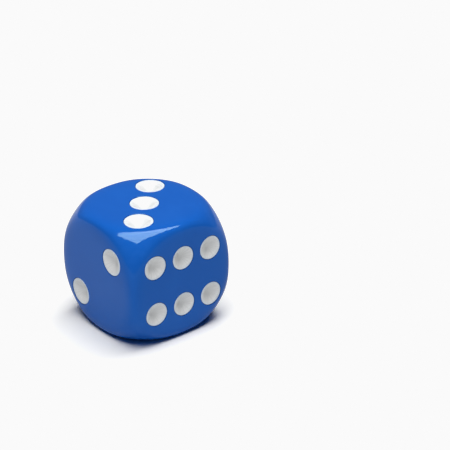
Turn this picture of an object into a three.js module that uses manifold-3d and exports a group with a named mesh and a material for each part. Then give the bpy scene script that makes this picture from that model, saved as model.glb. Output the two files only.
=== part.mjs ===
// A six-sided die: an opaque block with ball-rounded corners and twenty-one dimples, each holding a
// dished film of enamel. Millimetres, +Z up. The origin is the centre of the bottom face, the four.
import * as THREE from "three";
import { mergeVertices } from "three/addons/utils/BufferGeometryUtils.js";
import Module from "manifold-3d";

// Driving dimensions, in millimetres.
const EDGE = 16; // between opposite faces
const BALL_RADIUS = 0.69 * EDGE; // sphere about the centre that rounds the corners and edges
const BLEND = 26; // exponent of the blend between faces and ball: higher is crisper
const FLAT_SNAP = 5e-5 * EDGE; // a face this close to its plane is exactly flat
const CUTTER_BALL = 1.25; // ball cutter that sinks a dimple, over the radius of the enamel in it
const PITCH = 3.54; // from a face's centre lines to the corner pips of the two, three, four and five
const SIX_ALONG = 4.33; // between neighbours in each row of three on the six
const SIX_ACROSS = 3.31; // from the six's centre line to each row
const PIP_RADIUS = { one: 2, two: 1.76, three: 1.86, four: 1.82, five: 1.85, six: 1.58 }; // of the enamel
const ENAMEL_GAP = 0.01; // between a dimple's wall and its enamel
const ENAMEL_SETBACK = 0.03; // the enamel's rim lies this far below the face
const ENAMEL_LAND = 0.06; // width of the flat ring at the enamel's rim
const ENAMEL_BALL = 1.4; // the enamel's free surface is a shallower dish, over the same radius

// Fineness of the faceted surfaces.
const BLANK_STEPS = 12; // squares along each side of the block
const EDGE_PACKING = 1.2; // radians: crowds those squares towards the edges, where the surface bends
const ROUND_STEPS = 20; // sides of each round dimple and fill
const ARC_STEPS = 3; // steps from a dish's axis to its rim

const BLUE = { color: 0x2465c8, roughness: 0.22, metalness: 0 };
const WHITE = { color: 0xf2f2ee, roughness: 0.4, metalness: 0 };

const HALF = EDGE / 2;
const QUARTER_TURN = Math.PI / 2;

// Where the pips are on each face, in the face's own plane, before the face is turned into place.
const CORNERS = [
  [PITCH, PITCH],
  [-PITCH, -PITCH],
  [PITCH, -PITCH],
  [-PITCH, PITCH],
];
const CENTRE = [0, 0];
const SIX = [SIX_ACROSS, -SIX_ACROSS].flatMap((x) => [-SIX_ALONG, 0, SIX_ALONG].map((y) => [x, y]));

// Each face is laid out facing +Z and then turned by these angles about X and Y. Opposite faces add
// up to seven.
const FACES = [
  { name: "one", turn: [0, -QUARTER_TURN], places: [CENTRE] },
  { name: "two", turn: [QUARTER_TURN, 0], places: CORNERS.slice(0, 2) },
  { name: "three", turn: [0, 0], places: [CENTRE, ...CORNERS.slice(2)] },
  { name: "four", turn: [Math.PI, 0], places: CORNERS },
  { name: "five", turn: [-QUARTER_TURN, 0], places: [CENTRE, ...CORNERS] },
  { name: "six", turn: [0, QUARTER_TURN], places: SIX },
];

const wasm = await Module();
wasm.setup();

// A closed geometry, moved by a matrix, as a solid that can be cut.
function solidOf(geometry, matrix = new THREE.Matrix4()) {
  const bare = geometry.clone().deleteAttribute("normal").deleteAttribute("uv");
  const merged = mergeVertices(bare.applyMatrix4(matrix));
  return new wasm.Manifold(
    new wasm.Mesh({
      numProp: 3,
      vertProperties: merged.attributes.position.array,
      triVerts: new Uint32Array(merged.index.array),
    }),
  );
}

// A cut solid as a geometry again.
function geometryOf(solid) {
  const mesh = solid.getMesh();
  const geometry = new THREE.BufferGeometry();
  geometry.setAttribute("position", new THREE.BufferAttribute(mesh.vertProperties, 3));
  geometry.setIndex(new THREE.BufferAttribute(mesh.triVerts, 1));
  geometry.computeVertexNormals();
  return geometry;
}

// The block before its dimples are sunk, about its own centre. Each point of a cube is pulled in
// towards the centre to a power mean of the six face planes and the ball, so that the faces run
// smoothly into the rounded edges and corners.
function blankGeometry() {
  const geometry = new THREE.BoxGeometry(EDGE, EDGE, EDGE, BLANK_STEPS, BLANK_STEPS, BLANK_STEPS);
  const position = geometry.attributes.position;
  const point = new THREE.Vector3();
  for (let i = 0; i < position.count; i++) {
    point.fromBufferAttribute(position, i).multiplyScalar(EDGE_PACKING / HALF);
    point.set(Math.sin(point.x), Math.sin(point.y), Math.sin(point.z)).normalize();
    const planes = point.toArray().reduce((sum, c) => sum + Math.abs(c / HALF) ** BLEND, 0);
    point.multiplyScalar((planes + BALL_RADIUS ** -BLEND) ** (-1 / BLEND));
    const flat = point.toArray().map((c) => (HALF - Math.abs(c) < FLAT_SNAP ? Math.sign(c) * HALF : c));
    position.setXYZ(i, ...flat);
  }
  return geometry;
}

// Points on a ball that hangs over the face, from the bottom of the dish out to a given radius. The
// dish is as deep at its middle as the ball reaches below the height of that last point.
function dish(ballRadius, rimRadius, rimHeight) {
  const reach = Math.asin(rimRadius / ballRadius);
  const centreHeight = rimHeight + ballRadius * Math.cos(reach);
  return Array.from({ length: ARC_STEPS + 1 }, (_, i) => {
    const angle = (reach * i) / ARC_STEPS;
    return new THREE.Vector2(ballRadius * Math.sin(angle), centreHeight - ballRadius * Math.cos(angle));
  });
}

// A profile of radius and height, turned about +Z.
function turned(profile) {
  return new THREE.LatheGeometry(profile, ROUND_STEPS).rotateX(QUARTER_TURN);
}

// The tool that sinks the dimple for enamel of the given radius. The face is at height 0.
function cutterGeometry(radius) {
  const ball = CUTTER_BALL * radius;
  const centreHeight = Math.sqrt((ball - ENAMEL_GAP) ** 2 - radius ** 2) - ENAMEL_SETBACK;
  const mouthRadius = Math.sqrt(ball ** 2 - centreHeight ** 2);
  const top = HALF / 4;
  const wall = dish(ball, mouthRadius, 0);
  return turned([...wall, new THREE.Vector2(mouthRadius, top), new THREE.Vector2(0, top)]);
}

// The enamel itself: its back follows the dimple's wall, and its free surface is a shallower dish.
function enamelGeometry(radius) {
  const back = dish(CUTTER_BALL * radius - ENAMEL_GAP, radius, -ENAMEL_SETBACK);
  const front = dish(ENAMEL_BALL * radius, radius - ENAMEL_LAND, -ENAMEL_SETBACK);
  return turned([...back, ...front.reverse()]);
}

// The die about its own centre, one group for each face, with its pips in that face's own plane.
const die = new THREE.Group();
const white = new THREE.MeshStandardMaterial(WHITE);
const cutters = [];
for (const { name, turn, places } of FACES) {
  const face = new THREE.Group();
  face.rotation.set(turn[0], turn[1], 0);
  die.add(face);
  places.forEach(([x, y], i) => {
    const pip = new THREE.Mesh(enamelGeometry(PIP_RADIUS[name]), white);
    pip.name = `pip_${name}_${i + 1}`;
    pip.position.set(x, y, HALF);
    face.add(pip);
    pip.updateWorldMatrix(true, false);
    cutters.push(solidOf(cutterGeometry(PIP_RADIUS[name]), pip.matrixWorld));
  });
}

const drilled = cutters.reduce((block, cutter) => block.subtract(cutter), solidOf(blankGeometry()));
const body = new THREE.Mesh(geometryOf(drilled), new THREE.MeshStandardMaterial(BLUE));
body.name = "die_body";
die.add(body);

die.position.z = HALF;
export default die;
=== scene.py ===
"""A blue opaque die with white enamelled dimples, on a pale floor in soft studio light."""

import math

import bmesh
import bpy
import numpy as np
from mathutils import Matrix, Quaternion, Vector
from mathutils.geometry import delaunay_2d_cdt


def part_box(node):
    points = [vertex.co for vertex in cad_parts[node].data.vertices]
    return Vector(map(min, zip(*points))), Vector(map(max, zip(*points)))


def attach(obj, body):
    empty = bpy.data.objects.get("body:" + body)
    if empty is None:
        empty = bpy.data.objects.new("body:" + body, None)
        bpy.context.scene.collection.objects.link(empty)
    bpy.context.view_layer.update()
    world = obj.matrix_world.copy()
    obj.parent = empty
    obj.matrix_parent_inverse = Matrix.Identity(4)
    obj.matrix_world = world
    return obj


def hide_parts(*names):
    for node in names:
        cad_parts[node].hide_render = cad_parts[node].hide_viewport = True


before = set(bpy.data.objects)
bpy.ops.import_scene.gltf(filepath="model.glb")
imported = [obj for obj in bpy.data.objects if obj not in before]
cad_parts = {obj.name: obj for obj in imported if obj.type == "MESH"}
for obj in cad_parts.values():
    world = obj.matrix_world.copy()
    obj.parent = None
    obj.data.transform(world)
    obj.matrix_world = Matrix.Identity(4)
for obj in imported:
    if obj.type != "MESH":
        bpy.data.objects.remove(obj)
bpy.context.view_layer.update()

# Each lamp lights the objects of one of these collections.
DIE = bpy.data.collections.new("die")
GROUND = bpy.data.collections.new("ground")

# ---------------------------------------------------------------------------------------------
# Dimensions. Meshes are worked out in millimetres about the die's centre, then put in the row
# frame in metres.
# ---------------------------------------------------------------------------------------------
MM = 1e-3
BODY_LO, BODY_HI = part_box("die_body")
CENTRE = (BODY_LO + BODY_HI) / 2
EDGE = (BODY_HI.x - BODY_LO.x) / MM
HALF = EDGE / 2

# The block is a power mean of the six face planes and a ball, as in the CAD.
BALL_RADIUS = 0.69 * EDGE
BLEND = 26

# Dimples and enamel.
DIMPLE_BALL = 1.25  # radius of the ball that sinks a dimple, as a share of the enamel's radius
MOUTH_EXTRA = 0.06  # the mouth of a dimple is this much wider than its enamel
MOUTH_ROUND = 0.1  # depth over which the mouth's edge is rounded, to each side
ENAMEL_DEPTH = 0.43  # of the enamel's free surface, as a share of its radius
ENAMEL_FLARE = 2.3  # 1 leaves that surface a plain bowl, more draws it to a pit with a flared rim
ENAMEL_STEP = 0.04  # height of the enamel's rim above the dimple's wall
RIM_TURN = ((0.3, 0.15), (0, 0.5))  # how far in and down the rim turns over, in ENAMEL_STEPs
ENAMEL_CLEAR = 0.004  # between the enamel's back and the wall

# Fineness of the meshes.
GRID_STEPS = 92  # squares along each side of a face
EDGE_PACKING = 1.2  # radians: crowds those squares towards the edges, where the surface bends
GRID_CLEARANCE = 0.09  # between a dimple's outermost ring and the nearest points of the grid
ROUND_STEPS = 96  # sides of a ring
UNDER_RINGS = np.linspace(0.12, 1, 8)  # under the enamel, as shares of the last one's radius
UNDER_MARGIN = 1.6  # from the last of them to the dimple's mouth, in widths of its rounding
MOUTH_RINGS = np.linspace(-1.15, 1.25, 9)  # from inside the mouth to outside it, in such widths
SKIRT_RINGS = np.array([0.07, 0.16])  # beyond those, in millimetres
TRIANGULATED_HULL = 0  # the kind of triangulation
POINT_TOLERANCE = 1e-6  # in the triangulation
WELD = 0.5e-3  # points of neighbouring faces closer than this become one
NEWTON_STEPS = 30  # to the height of the block's surface

# Rings on the enamel's free surface and on its back, as shares of its radius.
FRONT_RINGS = np.append(np.linspace(0, 0.9, 19)[1:], [0.94, 0.97, 0.99])
BACK_RINGS = np.linspace(1, 0, 8)[:-1]


# ---------------------------------------------------------------------------------------------
# Where the pips are, read from the CAD nodes
# ---------------------------------------------------------------------------------------------
class Face:
    """One face of the die: a right-handed frame whose third axis points out of the face."""

    def __init__(self, axis, side):
        out = np.zeros(3)
        out[axis] = side
        first = np.zeros(3)
        first[(axis + 1) % 3] = 1
        self.basis = np.array([first, np.cross(out, first), out])
        self.pips = []

    def local(self, point):
        return self.basis @ point

    def place(self, points):
        """Points in the face's frame, in millimetres, to the row frame in metres."""
        return points @ self.basis * MM + np.array(CENTRE)


def read_faces():
    faces = {(axis, side): Face(axis, side) for axis in range(3) for side in (-1, 1)}
    for node in sorted(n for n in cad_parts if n.startswith("pip_")):
        lo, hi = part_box(node)
        size = np.array(hi - lo) / MM
        middle = np.array((lo + hi) / 2 - CENTRE) / MM
        axis = int(size.argmin())
        face = faces[axis, int(np.sign(middle[axis]))]
        face.pips.append((node, face.local(middle)[:2], size.max() / 2))
    return list(faces.values())


# ---------------------------------------------------------------------------------------------
# Surfaces
# ---------------------------------------------------------------------------------------------
def on_block(points):
    """Points pulled along the ray from the centre to the block's surface."""
    ray = points / np.linalg.norm(points, axis=1)[:, None]
    planes = ((np.abs(ray) / HALF) ** BLEND).sum(1)
    return ray * ((planes + BALL_RADIUS**-BLEND) ** (-1 / BLEND))[:, None]


def block_height(x, y):
    """Height of the block's surface over points of the face's own plane, by Newton's method."""
    sides = (np.abs(x) / HALF) ** BLEND + (np.abs(y) / HALF) ** BLEND
    flat = x**2 + y**2
    z = np.full_like(flat, HALF)
    for _ in range(NEWTON_STEPS):
        ball = np.sqrt(flat + z**2) / BALL_RADIUS
        excess = sides + (z / HALF) ** BLEND + ball**BLEND - 1
        slope = BLEND * ((z / HALF) ** BLEND / z + z / BALL_RADIUS**2 * ball ** (BLEND - 2))
        z = z - excess / slope
    return z


def dimple_depth(r, enamel_radius):
    """Depth of the dimple below the block's surface, with its mouth rounded over. It is 0 outside
    the mouth."""
    ball = DIMPLE_BALL * enamel_radius
    mouth = enamel_radius + MOUTH_EXTRA
    raw = np.sqrt(ball**2 - np.minimum(r, ball) ** 2) - math.sqrt(ball**2 - mouth**2)
    rounding = np.maximum(MOUTH_ROUND - np.abs(raw), 0) ** 2 / (4 * MOUTH_ROUND)
    return np.maximum(raw, 0) + rounding


def enamel_sag(r, enamel_radius):
    """How far the enamel's free surface is below its own rim."""
    return ENAMEL_DEPTH * enamel_radius * (1 - (r / enamel_radius) ** 2) ** ENAMEL_FLARE


def ring_points(radii):
    """Concentric rings, inside out, as points of a plane."""
    angles = np.arange(ROUND_STEPS) * 2 * math.pi / ROUND_STEPS
    circle = np.stack([np.cos(angles), np.sin(angles)], 1)
    return np.concatenate([r * circle for r in radii])


def dimple_radii(enamel_radius):
    """Rings that follow the dimple: sparse under the enamel, close together round its mouth."""
    mouth = enamel_radius + MOUTH_EXTRA
    wall_slope = 1 / math.sqrt(DIMPLE_BALL**2 - 1)
    rounded = MOUTH_ROUND / wall_slope
    under = UNDER_RINGS * (mouth - UNDER_MARGIN * rounded)
    around = mouth + MOUTH_RINGS * rounded
    return np.concatenate([under, around, around[-1] + SKIRT_RINGS])


# ---------------------------------------------------------------------------------------------
# The block
# ---------------------------------------------------------------------------------------------
def face_mesh(face):
    """Points and triangles of one face of the block, with its dimples."""
    steps = np.linspace(-1, 1, GRID_STEPS + 1)
    lines = HALF * np.sin(EDGE_PACKING * steps) / math.sin(EDGE_PACKING)
    plan = np.stack(np.meshgrid(lines, lines, indexing="ij"), -1).reshape(-1, 2)

    dimples = []
    for _, middle, radius in face.pips:
        radii = dimple_radii(radius)
        dimple = middle + np.concatenate([np.zeros((1, 2)), ring_points(radii)])
        dimple = dimple / block_height(*dimple.T)[:, None] * HALF
        dimples.append(dimple)
        plan = plan[np.linalg.norm(plan - dimple[0], axis=1) > radii[-1] + GRID_CLEARANCE]
    plan = np.concatenate([plan, *dimples])

    _, _, triangles, origins, _, _ = delaunay_2d_cdt(
        [Vector(p) for p in plan], [], [], TRIANGULATED_HULL, POINT_TOLERANCE
    )
    first_origin = np.array([origin[0] for origin in origins])
    triangles = first_origin[np.array(triangles)]

    points = on_block(np.column_stack([plan, np.full(len(plan), HALF)]))
    sunk = np.zeros(len(points))
    for _, middle, radius in face.pips:
        sunk += dimple_depth(np.linalg.norm(points[:, :2] - middle, axis=1), radius)
    points[:, 2] -= sunk
    return face.place(points), triangles, sunk


def make_block(faces, material):
    """The whole block, with each point's depth below the surface as an attribute."""
    points, triangles, depths = [], [], []
    for face in faces:
        face_points, face_triangles, sunk = face_mesh(face)
        triangles.append(face_triangles + sum(map(len, points)))
        points.append(face_points)
        depths.append(sunk)
    mesh = bpy.data.meshes.new("block")
    mesh.from_pydata(np.concatenate(points).tolist(), [], np.concatenate(triangles).tolist())
    depth = mesh.attributes.new("depth", "FLOAT", "POINT")
    depth.data.foreach_set("value", np.concatenate(depths))

    bm = bmesh.new()
    bm.from_mesh(mesh)
    bmesh.ops.remove_doubles(bm, verts=bm.verts, dist=WELD * MM)
    bmesh.ops.join_triangles(
        bm,
        faces=bm.faces,
        angle_face_threshold=math.radians(8),
        angle_shape_threshold=math.radians(50),
    )
    bm.to_mesh(mesh)
    bm.free()
    return add_piece("block", mesh, material)


# ---------------------------------------------------------------------------------------------
# The enamel
# ---------------------------------------------------------------------------------------------
def enamel_profile(radius):
    """Distances from the axis and depths, from the middle of the free surface, over the rim and
    back to the middle of the underside."""
    wall = float(dimple_depth(np.array(radius), radius))
    top_rim = wall - ENAMEL_STEP
    top = [(r, top_rim + enamel_sag(r, radius)) for r in FRONT_RINGS * radius]
    turn = [(radius - a * ENAMEL_STEP, top_rim + b * ENAMEL_STEP) for a, b in RIM_TURN]
    back = [
        (r, float(dimple_depth(np.array(r), radius)) - ENAMEL_CLEAR) for r in BACK_RINGS * radius
    ]
    middle_top = top_rim + enamel_sag(0, radius)
    middle_back = float(dimple_depth(np.array(0.0), radius)) - ENAMEL_CLEAR
    return middle_top, top + turn + back, middle_back


def make_enamel(face, node, middle, radius, material):
    """One enamel film. Its attributes are how near the rim a point is, from 0 to 1, and the spoke
    that it is on, which has a number of its own for each pip as the third coordinate."""
    middle_top, profile, middle_back = enamel_profile(radius)
    radii, depths = np.array(profile).T
    plan = np.concatenate([ring_points(radii), np.zeros((2, 2))])
    depth = np.concatenate([np.repeat(depths, ROUND_STEPS), [middle_top, middle_back]])
    x, y = (plan + middle).T
    points = face.place(np.column_stack([x, y, block_height(x, y) - depth]))

    step = np.arange(ROUND_STEPS)
    after = (step + 1) % ROUND_STEPS
    quads = []
    for ring in range(len(radii) - 1):
        a, b = ring * ROUND_STEPS, (ring + 1) * ROUND_STEPS
        quads += np.column_stack([a + step, b + step, b + after, a + after]).tolist()
    last = (len(radii) - 1) * ROUND_STEPS
    top, bottom = len(plan) - 2, len(plan) - 1
    fans = [[top, int(s), int(t)] for s, t in zip(step, after)]
    fans += [[bottom, int(last + t), int(last + s)] for s, t in zip(step, after)]

    name = node.replace("pip_", "enamel_")
    mesh = bpy.data.meshes.new(name)
    mesh.from_pydata(points.tolist(), [], quads + fans)
    rim = mesh.attributes.new("rim", "FLOAT", "POINT")
    rim.data.foreach_set("value", np.linalg.norm(plan, axis=1) / radius)
    spoke = mesh.attributes.new("spoke", "FLOAT_VECTOR", "POINT")
    towards = plan / np.maximum(np.linalg.norm(plan, axis=1), 1e-9)[:, None]
    seed = np.full(len(plan), middle.sum())
    spoke.data.foreach_set("vector", np.column_stack([towards, seed]).ravel())
    return add_piece(name, mesh, material)


def add_piece(name, mesh, material):
    mesh.shade_smooth()
    mesh.materials.append(material)
    piece = bpy.data.objects.new(name, mesh)
    bpy.context.scene.collection.objects.link(piece)
    DIE.objects.link(piece)
    return piece


# ---------------------------------------------------------------------------------------------
# Materials
# ---------------------------------------------------------------------------------------------
class Nodes:
    """A material's node tree, with short calls for the nodes used here."""

    def __init__(self, name):
        self.material = bpy.data.materials.new(name)
        self.material.use_nodes = True
        self.tree = self.material.node_tree
        self.shader = self.tree.nodes["Principled BSDF"]
        self.object = self.add("ShaderNodeTexCoord").outputs["Object"]

    def add(self, kind, inputs=None, **settings):
        node = self.tree.nodes.new(kind)
        for key, value in settings.items():
            setattr(node, key, value)
        for key, value in (inputs or {}).items():
            self.put(node.inputs[key], value)
        return node

    def put(self, socket, value):
        if isinstance(value, bpy.types.NodeSocket):
            self.tree.links.new(value, socket)
        else:
            socket.default_value = value

    def noise(self, scale, detail=2.0, roughness=0.5, vector=None, distortion=0.0):
        inputs = {
            "Vector": vector or self.object,
            "Scale": scale,
            "Detail": detail,
            "Roughness": roughness,
            "Distortion": distortion,
        }
        return self.add("ShaderNodeTexNoise", inputs).outputs["Fac"]

    def math(self, operation, *values):
        node = self.add("ShaderNodeMath", operation=operation)
        for socket, value in zip(node.inputs, values):
            self.put(socket, value)
        return node.outputs[0]

    def ranged(self, value, low, high, to_low=0.0, to_high=1.0):
        inputs = {
            "Value": value,
            "From Min": low,
            "From Max": high,
            "To Min": to_low,
            "To Max": to_high,
        }
        node = self.add("ShaderNodeMapRange", inputs, interpolation_type="SMOOTHSTEP")
        return node.outputs["Result"]

    def mix(self, factor, a, b):
        node = self.add("ShaderNodeMix", data_type="RGBA")
        for socket, value in zip((node.inputs[0], node.inputs[6], node.inputs[7]), (factor, a, b)):
            self.put(socket, value)
        return node.outputs[2]

    def bump(self, height, distance, normal=None):
        inputs = {"Height": height, "Distance": distance}
        if normal:
            inputs["Normal"] = normal
        return self.add("ShaderNodeBump", inputs).outputs["Normal"]


BLUE = (0.0075, 0.117, 0.53, 1)
BLUE_DEEP = (0.0065, 0.11, 0.51, 1)
BLUE_WORN = (0.014, 0.13, 0.555, 1)
# Painted shade: dark navy laid on the resin down in the dimples' mouths, where shade falls.
MOUTH_SHADE = (0.006, 0.04, 0.17, 1)
WHITE = (0.83, 0.84, 0.845, 1)
WHITE_THIN = (0.76, 0.87, 0.98, 1)  # at the rim, where the resin shows through
# Greyer where the paint pools, and darker still as painted shade in the hollow of the dish.
WHITE_POOLED_AND_SHADED = (0.745, 0.76, 0.76, 1)
WHITE_STROKE = (0.56, 0.57, 0.58, 1)
WORN_REACH = (10.75, 11.03)  # distances from the centre over which the corners start to be worn
SHADED_MOUTH_DEPTH = (0.002, 0.03)  # depths over which a dimple's mouth is darkened with painted shade
WORN_SHARE = 0.6  # of the worn colour where the block is worn most
MOUTH_SHADE_SHARE = 0.9
STROKE_SHARE = 0.45
WORN_ROUGHNESS = 0.05  # added where the block is worn most


def blue_resin():
    """Moulded and tumbled blue resin: faint flow marks, fine haze and hairline scuffs, with
    painted shade darkening the mouths of the dimples.
    """
    n = Nodes("blue_resin")
    flow = n.noise(scale=160, detail=3, distortion=0.6)
    colour = n.mix(n.ranged(flow, 0.35, 0.65), BLUE_DEEP, BLUE)

    centred = n.add("ShaderNodeVectorMath", {0: n.object, 1: CENTRE}, operation="SUBTRACT")
    reach = n.add("ShaderNodeVectorMath", {0: centred.outputs[0]}, operation="LENGTH")
    edge = n.ranged(reach.outputs["Value"], *(worn * MM for worn in WORN_REACH))
    patches = n.ranged(n.noise(scale=420, detail=4), 0.42, 0.66)
    wear = n.math("MULTIPLY", edge, patches)
    colour = n.mix(n.math("MULTIPLY", wear, WORN_SHARE), colour, BLUE_WORN)
    # Painted shade: the resin turns towards dark navy where it dips into a dimple's mouth.
    depth = n.add("ShaderNodeAttribute", attribute_name="depth").outputs["Fac"]
    mouth_shade = n.ranged(depth, *SHADED_MOUTH_DEPTH)
    colour = n.mix(n.math("MULTIPLY", mouth_shade, MOUTH_SHADE_SHARE), colour, MOUTH_SHADE)
    n.put(n.shader.inputs["Base Color"], colour)

    haze = n.ranged(n.noise(scale=900, detail=4, roughness=0.6), 0.3, 0.7, 0.03, 0.05)
    roughness = n.math("ADD", haze, n.math("MULTIPLY", wear, WORN_ROUGHNESS))
    n.put(n.shader.inputs["Roughness"], roughness)
    n.put(n.shader.inputs["IOR"], 1.33)
    n.put(n.shader.inputs["Specular Tint"], (0.65, 1, 1, 1))

    waves = n.noise(scale=330, detail=1)
    grain = n.noise(scale=5200, detail=2)
    normal = n.bump(waves, 0.004 * MM)
    normal = n.bump(grain, 0.0006 * MM, normal=normal)
    n.put(n.shader.inputs["Normal"], normal)
    return n.material


def white_enamel():
    """Satin white enamel, pooled and greyer in the middle and darkened there with painted shade,
    lighter towards a thin rim, with fine strokes out to it.
    """
    n = Nodes("white_enamel")
    rim = n.add("ShaderNodeAttribute", attribute_name="rim").outputs["Fac"]
    spoke = n.add("ShaderNodeAttribute", attribute_name="spoke").outputs["Vector"]
    clouds = n.math("MULTIPLY", n.math("SUBTRACT", n.noise(scale=700, detail=3), 0.5), 0.5)
    # Partly painted light and shade: the enamel runs from pooled, shaded grey in the dish's middle
    # to lighter white at its rim.
    tone = n.mix(n.ranged(n.math("ADD", rim, clouds), 0.1, 0.95), WHITE_POOLED_AND_SHADED, WHITE)
    strokes = n.ranged(n.noise(scale=11, detail=2, roughness=0.7, vector=spoke), 0.4, 0.75)
    strokes = n.math("MULTIPLY", strokes, n.ranged(rim, 0.05, 0.45))
    tone = n.mix(n.math("MULTIPLY", strokes, STROKE_SHARE), tone, WHITE_STROKE)
    tone = n.mix(n.ranged(rim, 0.8, 1), tone, WHITE_THIN)
    n.put(n.shader.inputs["Base Color"], tone)
    roughness = n.ranged(n.noise(scale=1500, detail=3), 0.3, 0.7, 0.3, 0.42)
    n.put(n.shader.inputs["Roughness"], roughness)
    n.put(n.shader.inputs["IOR"], 1.35)
    orange_peel = n.noise(scale=2600, detail=2)
    normal = n.bump(orange_peel, 0.0025 * MM)
    n.put(n.shader.inputs["Normal"], n.bump(strokes, 0.01 * MM, normal=normal))
    return n.material


def white_paper():
    """The floor, which thins out to the pale background well away from the die. It is brighter to
    the camera than in the light that it throws on the die."""
    n = Nodes("white_paper")
    n.tree.nodes.remove(n.shader)
    seen = n.add("ShaderNodeBsdfDiffuse", {"Color": FLOOR_SEEN})
    bounced = n.add("ShaderNodeBsdfDiffuse", {"Color": FLOOR_BOUNCED})
    clear = n.add("ShaderNodeBsdfTransparent")
    path = n.add("ShaderNodeLightPath")
    reach = n.add("ShaderNodeVectorMath", {0: n.object}, operation="LENGTH").outputs["Value"]
    faded = n.ranged(reach, *FLOOR_FADE)
    shown = path.outputs["Is Camera Ray"]
    paper = n.add("ShaderNodeMixShader", {0: shown, 1: bounced.outputs[0], 2: seen.outputs[0]})
    whole = n.add("ShaderNodeMixShader", {0: faded, 1: paper.outputs[0], 2: clear.outputs[0]})
    n.put(n.tree.nodes["Material Output"].inputs["Surface"], whole.outputs[0])
    return n.material


# ---------------------------------------------------------------------------------------------
# Stage: floor, lights, background and camera
# ---------------------------------------------------------------------------------------------
FLOOR_HALF = 1.2
FLOOR_FADE = (0.3, 0.7)  # distances from the die over which the floor gives way to the background
FLOOR_SEEN = (1.2, 1.19, 1.15, 1)
FLOOR_BOUNCED = (0.7, 0.7, 0.7, 1)
BACKGROUND = 0.956  # what the camera sees beyond the floor
SURROUNDINGS = 0.17  # what the gloss reflects where there is no lamp

# Softboxes overhead, one for the die's gloss, one for the rest of the die's light and one for the
# floor. Where the middle is and how long the sides are, as shares of the height.
SOFTBOX_HEIGHT = 2.0
SOFTBOX_TURN = math.radians(100)  # the long sides' azimuth, from +X
GLOSS_BOX = {
    "middle": (0.021, -0.013, 0.99),
    "sides": (1.3, 0.71),
    "lean": math.radians(13.8),  # the side towards the camera hangs lower
    "radiance": 12.0,
}
DIE_BOX = {"middle": (0, 0, 1), "sides": (1.35, 0.73), "radiance": 4.57}
FLOOR_BOX = {"middle": (0.05, 0.05, 1), "sides": (1.1, 0.6), "radiance": 5.94}

# Round fill lights for the die: (elevation, azimuth from +X towards +Y) and radiance.
FILL_DISTANCE = 2.0
FILL_SIZE = 1.3  # across
FILLS = {
    (12, 315): 1.7,
    (60, 0): 1.14,
    (12, 0): 0.35,
    (12, 270): 0.36,
}

# The camera: the point that it looks at, and how far and in what direction from there it stands.
AIM = Vector((0.301, 0.577, 0.730)) * EDGE * MM
CAMERA_DISTANCE = 18.66 * EDGE * MM
CAMERA_AZIMUTH = math.radians(-38.05)
CAMERA_ELEVATION = math.radians(27.27)
CAMERA_ROLL = math.radians(-0.79)
LENS = 185.2
SENSOR = 36


def direction(elevation, azimuth):
    """The unit vector at an elevation above the floor and an azimuth from +X towards +Y."""
    level = math.cos(elevation)
    return Vector((level * math.cos(azimuth), level * math.sin(azimuth), math.sin(elevation)))


def make_floor():
    mesh = bpy.data.meshes.new("floor")
    corners = [(-1, -1), (1, -1), (1, 1), (-1, 1)]
    mesh.from_pydata([(x * FLOOR_HALF, y * FLOOR_HALF, 0) for x, y in corners], [], [range(4)])
    mesh.materials.append(white_paper())
    floor = bpy.data.objects.new("floor", mesh)
    bpy.context.scene.collection.objects.link(floor)
    GROUND.objects.link(floor)


def make_softbox(name, lit, middle, sides, radiance, lean=0, glossy=False):
    """A lamp for the objects in the collection, seen only by their gloss or only by the rest."""
    light = bpy.data.lights.new(name, "AREA")
    light.shape = "RECTANGLE"
    light.size, light.size_y = (side * SOFTBOX_HEIGHT for side in sides)
    light.energy = radiance * math.pi * light.size * light.size_y
    lamp = bpy.data.objects.new(name, light)
    lamp.location = Vector(middle) * SOFTBOX_HEIGHT
    lamp.rotation_mode = "QUATERNION"
    camera_right = direction(0, CAMERA_AZIMUTH + math.pi / 2)
    lamp.rotation_quaternion = Quaternion(camera_right, lean) @ Quaternion((0, 0, 1), SOFTBOX_TURN)
    lamp.visible_diffuse = not glossy
    lamp.visible_glossy = glossy
    lamp.visible_camera = False
    lamp.light_linking.receiver_collection = lit
    bpy.context.scene.collection.objects.link(lamp)


def make_fill(lit, elevation, azimuth, radiance):
    """A round lamp for the objects in the collection, not seen in their gloss."""
    name = f"fill_{elevation}_{azimuth}"
    light = bpy.data.lights.new(name, "AREA")
    light.shape = "DISK"
    light.size = FILL_SIZE
    light.energy = radiance * math.pi * math.pi * FILL_SIZE**2 / 4
    lamp = bpy.data.objects.new(name, light)
    towards = direction(math.radians(elevation), math.radians(azimuth))
    lamp.location = CENTRE + towards * FILL_DISTANCE
    lamp.rotation_mode = "QUATERNION"
    lamp.rotation_quaternion = towards.to_track_quat("Z", "Y")
    lamp.visible_glossy = False
    lamp.visible_camera = False
    lamp.light_linking.receiver_collection = lit
    bpy.context.scene.collection.objects.link(lamp)


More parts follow.
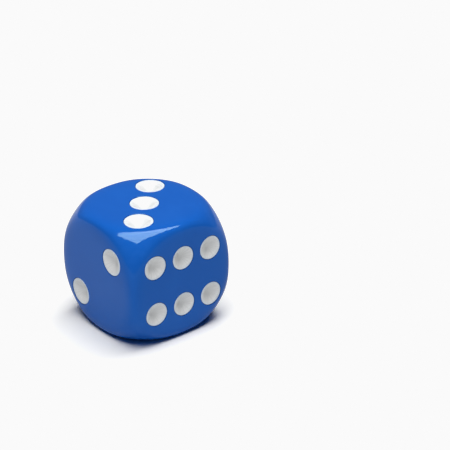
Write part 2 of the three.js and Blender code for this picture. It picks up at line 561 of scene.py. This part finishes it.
def make_background():
    """Pale behind everything to the camera, dim to reflections and black to diffuse light."""
    world = bpy.data.worlds.new("background")
    bpy.context.scene.world = world
    world.use_nodes = True
    tree = world.node_tree
    path = tree.nodes.new("ShaderNodeLightPath")
    dim = tree.nodes.new("ShaderNodeMath")
    dim.operation = "MULTIPLY"
    dim.inputs[1].default_value = SURROUNDINGS
    strength = tree.nodes.new("ShaderNodeMath")
    strength.operation = "MULTIPLY_ADD"
    strength.inputs[1].default_value = BACKGROUND
    shown = tree.nodes["Background"]
    shown.inputs["Color"].default_value = (1, 1, 1, 1)
    tree.links.new(path.outputs["Is Glossy Ray"], dim.inputs[0])
    tree.links.new(path.outputs["Is Camera Ray"], strength.inputs[0])
    tree.links.new(dim.outputs[0], strength.inputs[2])
    tree.links.new(strength.outputs[0], shown.inputs["Strength"])


def make_camera():
    data = bpy.data.cameras.new("camera")
    data.sensor_width = SENSOR
    data.lens = LENS
    data.clip_start, data.clip_end = 0.01, 50
    back = direction(CAMERA_ELEVATION, CAMERA_AZIMUTH)
    camera = bpy.data.objects.new("camera", data)
    camera.rotation_mode = "QUATERNION"
    camera.location = AIM + back * CAMERA_DISTANCE
    level = (-back).to_track_quat("-Z", "Y")
    camera.rotation_quaternion = level @ Quaternion((0, 0, 1), CAMERA_ROLL)
    bpy.context.scene.collection.objects.link(camera)
    bpy.context.scene.camera = camera


def level_whites(view):
    """Standard view, in which nothing gets brighter than the background."""
    view.view_transform = "Standard"
    view.use_curve_mapping = True
    mapping = view.curve_mapping
    mapping.extend = "HORIZONTAL"
    curve = mapping.curves[3]  # the one for all three colours together
    curve.points.new(BACKGROUND, BACKGROUND)
    for point in curve.points:
        point.handle_type = "VECTOR"
    curve.points[-1].location = (1, BACKGROUND)
    mapping.update()


# ---------------------------------------------------------------------------------------------
# Making
# ---------------------------------------------------------------------------------------------
faces = read_faces()
resin, enamel = blue_resin(), white_enamel()

block = make_block(faces, resin)
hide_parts("die_body")
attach(block, "root")

for face in faces:
    for node, middle, radius in face.pips:
        piece = make_enamel(face, node, middle, radius, enamel)
        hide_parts(node)
        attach(piece, "root")

make_floor()
make_softbox("softbox_gloss", DIE, glossy=True, **GLOSS_BOX)
make_softbox("softbox_die", DIE, **DIE_BOX)
make_softbox("softbox_floor", GROUND, **FLOOR_BOX)
for (elevation, azimuth), radiance in FILLS.items():
    make_fill(DIE, elevation, azimuth, radiance)
make_background()
make_camera()
level_whites(bpy.context.scene.view_settings)
